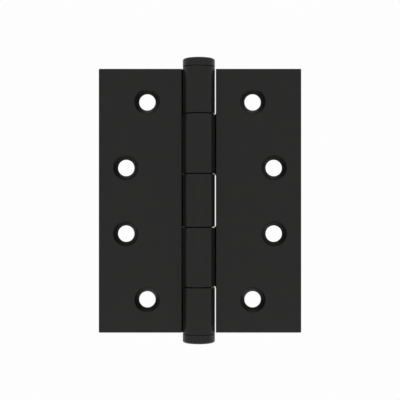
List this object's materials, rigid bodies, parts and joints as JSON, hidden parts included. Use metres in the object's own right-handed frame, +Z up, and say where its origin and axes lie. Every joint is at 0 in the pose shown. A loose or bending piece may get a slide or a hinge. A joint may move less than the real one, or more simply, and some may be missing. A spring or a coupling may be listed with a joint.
{
  "type": "door hinge",
  "caption": "Butt hinge for a door: two flat square-cornered leaves with countersunk screw holes, joined by interlocking knuckles on a loose pin with flush tips.",
  "frame": {"origin": "on the pin's axis at mid-height, which is the middle of the open hinge's box to within half a millimetre", "axes": "+Z up the pin to its head, +X towards the door leaf, -Y out of the countersunk faces"},
  "size_m": [0.0876, 0.0138, 0.1222],
  "materials": {
    "leaf_black": "matte black powder coat",
    "tip_black": "matte black powder coat",
    "pin_steel": "ground and zinc plated",
    "race_steel": "hardened and ground",
    "ball_steel": "polished",
    "cage_brass": "stamped"
  },
  "bodies": {
    "frame_side": {"frame_leaf": "leaf_black", "bottom_tip": "tip_black", "bearing_1_upper_race": "race_steel", "bearing_2_lower_race": "race_steel", "bearing_3_upper_race": "race_steel", "bearing_4_lower_race": "race_steel"},
    "door_side": {"door_leaf": "leaf_black", "bearing_1_lower_race": "race_steel", "bearing_2_upper_race": "race_steel", "bearing_3_lower_race": "race_steel", "bearing_4_upper_race": "race_steel"},
    "pin": {"hinge_pin": "pin_steel", "top_tip": "tip_black"},
    "ball_ring_1": {"bearing_1_balls": "ball_steel", "bearing_1_cage": "cage_brass"},
    "ball_ring_2": {"bearing_2_balls": "ball_steel", "bearing_2_cage": "cage_brass"},
    "ball_ring_3": {"bearing_3_balls": "ball_steel", "bearing_3_cage": "cage_brass"},
    "ball_ring_4": {"bearing_4_balls": "ball_steel", "bearing_4_cage": "cage_brass"}
  },
  "joints": [
    {"name": "door_swing", "type": "hinge", "parent": "frame_side", "child": "door_side", "pos_m": [0, 0, 0], "axis": [0, 0, -1], "range_deg": [-55, 180]},
    {"name": "pin_lift", "type": "slide", "parent": "frame_side", "child": "pin", "axis": [0, 0, 1], "range_m": [0, 0.105]},
    {"name": "ball_ring_1_turn", "type": "hinge", "parent": "frame_side", "child": "ball_ring_1", "pos_m": [0, 0, 0], "axis": [0, 0, -1], "range_deg": [-27.5, 90]},
    {"name": "ball_ring_2_turn", "type": "hinge", "parent": "frame_side", "child": "ball_ring_2", "pos_m": [0, 0, 0], "axis": [0, 0, -1], "range_deg": [-27.5, 90]},
    {"name": "ball_ring_3_turn", "type": "hinge", "parent": "frame_side", "child": "ball_ring_3", "pos_m": [0, 0, 0], "axis": [0, 0, -1], "range_deg": [-27.5, 90]},
    {"name": "ball_ring_4_turn", "type": "hinge", "parent": "frame_side", "child": "ball_ring_4", "pos_m": [0, 0, 0], "axis": [0, 0, -1], "range_deg": [-27.5, 90]}
  ],
  "couplings": [
    {"joint": "ball_ring_1_turn", "follows": "door_swing", "ratio": 0.5},
    {"joint": "ball_ring_2_turn", "follows": "door_swing", "ratio": 0.5},
    {"joint": "ball_ring_3_turn", "follows": "door_swing", "ratio": 0.5},
    {"joint": "ball_ring_4_turn", "follows": "door_swing", "ratio": 0.5}
  ]
}
